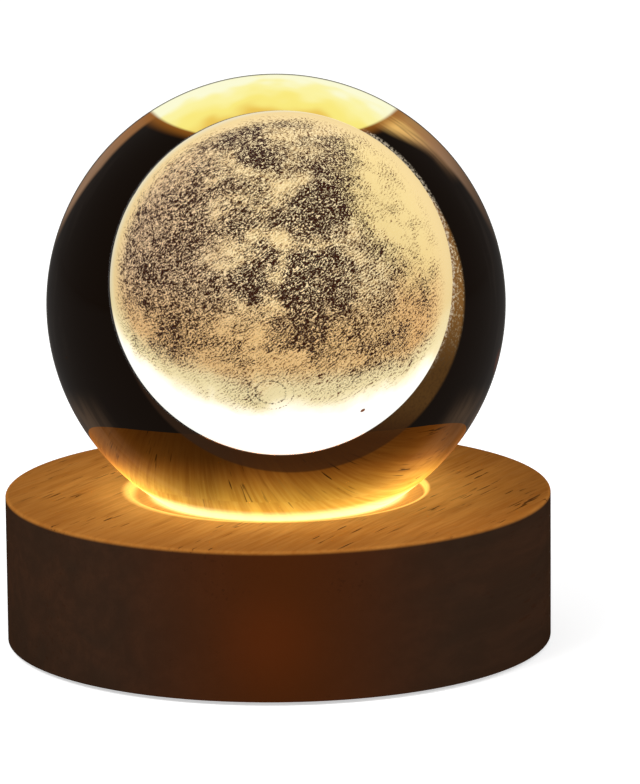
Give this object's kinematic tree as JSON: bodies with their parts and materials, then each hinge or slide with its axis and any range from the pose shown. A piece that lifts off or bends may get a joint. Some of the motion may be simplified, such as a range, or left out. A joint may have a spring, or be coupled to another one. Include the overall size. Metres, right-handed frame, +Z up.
{
  "type": "crystal ball night light",
  "caption": "Solid glass ball marked inside with a full moon, resting in a round wooden base that lights it from below.",
  "frame": {"origin": "middle of the footprint, on the table", "axes": "+Z up through the ball's centre, -Y towards the front, +Y towards the power socket and the button"},
  "size_m": [0.071, 0.071, 0.074],
  "materials": {
    "clear_glass": "polished",
    "engraved_glass": "frosted, lit warm from below",
    "base_wood": "oiled, dark",
    "white_board": "solder mask",
    "green_board": "solder mask",
    "lamp_frame": "moulded",
    "lamp_phosphor": "silicone gel",
    "resistor_body": "fired",
    "zinc_screw": "zinc plated",
    "black_screw": "black oxide",
    "socket_steel": "nickel plated",
    "black_plastic": "fine texture",
    "gilt_contact": "gold flash",
    "tin_pin": "tinned",
    "spring_wire": "bright",
    "white_plastic": "moulded",
    "button_plastic": "satin",
    "red_insulation": "soft",
    "black_insulation": "soft",
    "solder": "bright",
    "foot_rubber": "matt"
  },
  "bodies": {
    "base": {"wood_base": "base_wood", "led_board": "white_board", "led_phosphors": "lamp_phosphor", "led_frames": "lamp_frame", "chip_resistors": "resistor_body", "led_board_screws": "zinc_screw", "back_board": "green_board", "back_board_screws": "zinc_screw", "socket_shell": "socket_steel", "socket_tongue": "black_plastic", "socket_contacts": "gilt_contact", "switch_housing": "black_plastic", "switch_pins": "tin_pin", "switch_spring": "spring_wire", "red_wire": "red_insulation", "black_wire": "black_insulation", "solder_joints": "solder", "base_cover": "black_plastic", "cover_screws": "black_screw", "foot_pads": "foot_rubber"},
    "ball": {"crystal_ball": "clear_glass", "engraved_moon": "engraved_glass"},
    "button": {"switch_plunger": "white_plastic", "button_cap": "button_plastic"}
  },
  "joints": [
    {"name": "ball_lift", "type": "slide", "parent": "base", "child": "ball", "axis": [0, 0, 1], "range_m": [0, 0.04]},
    {"name": "button_press", "type": "slide", "parent": "base", "child": "button", "axis": [0, -1, 0], "range_m": [0, 0.0012], "stiffness_N_per_m": 800, "springref_m": -0.001, "deforming": ["switch_spring"]}
  ]
}
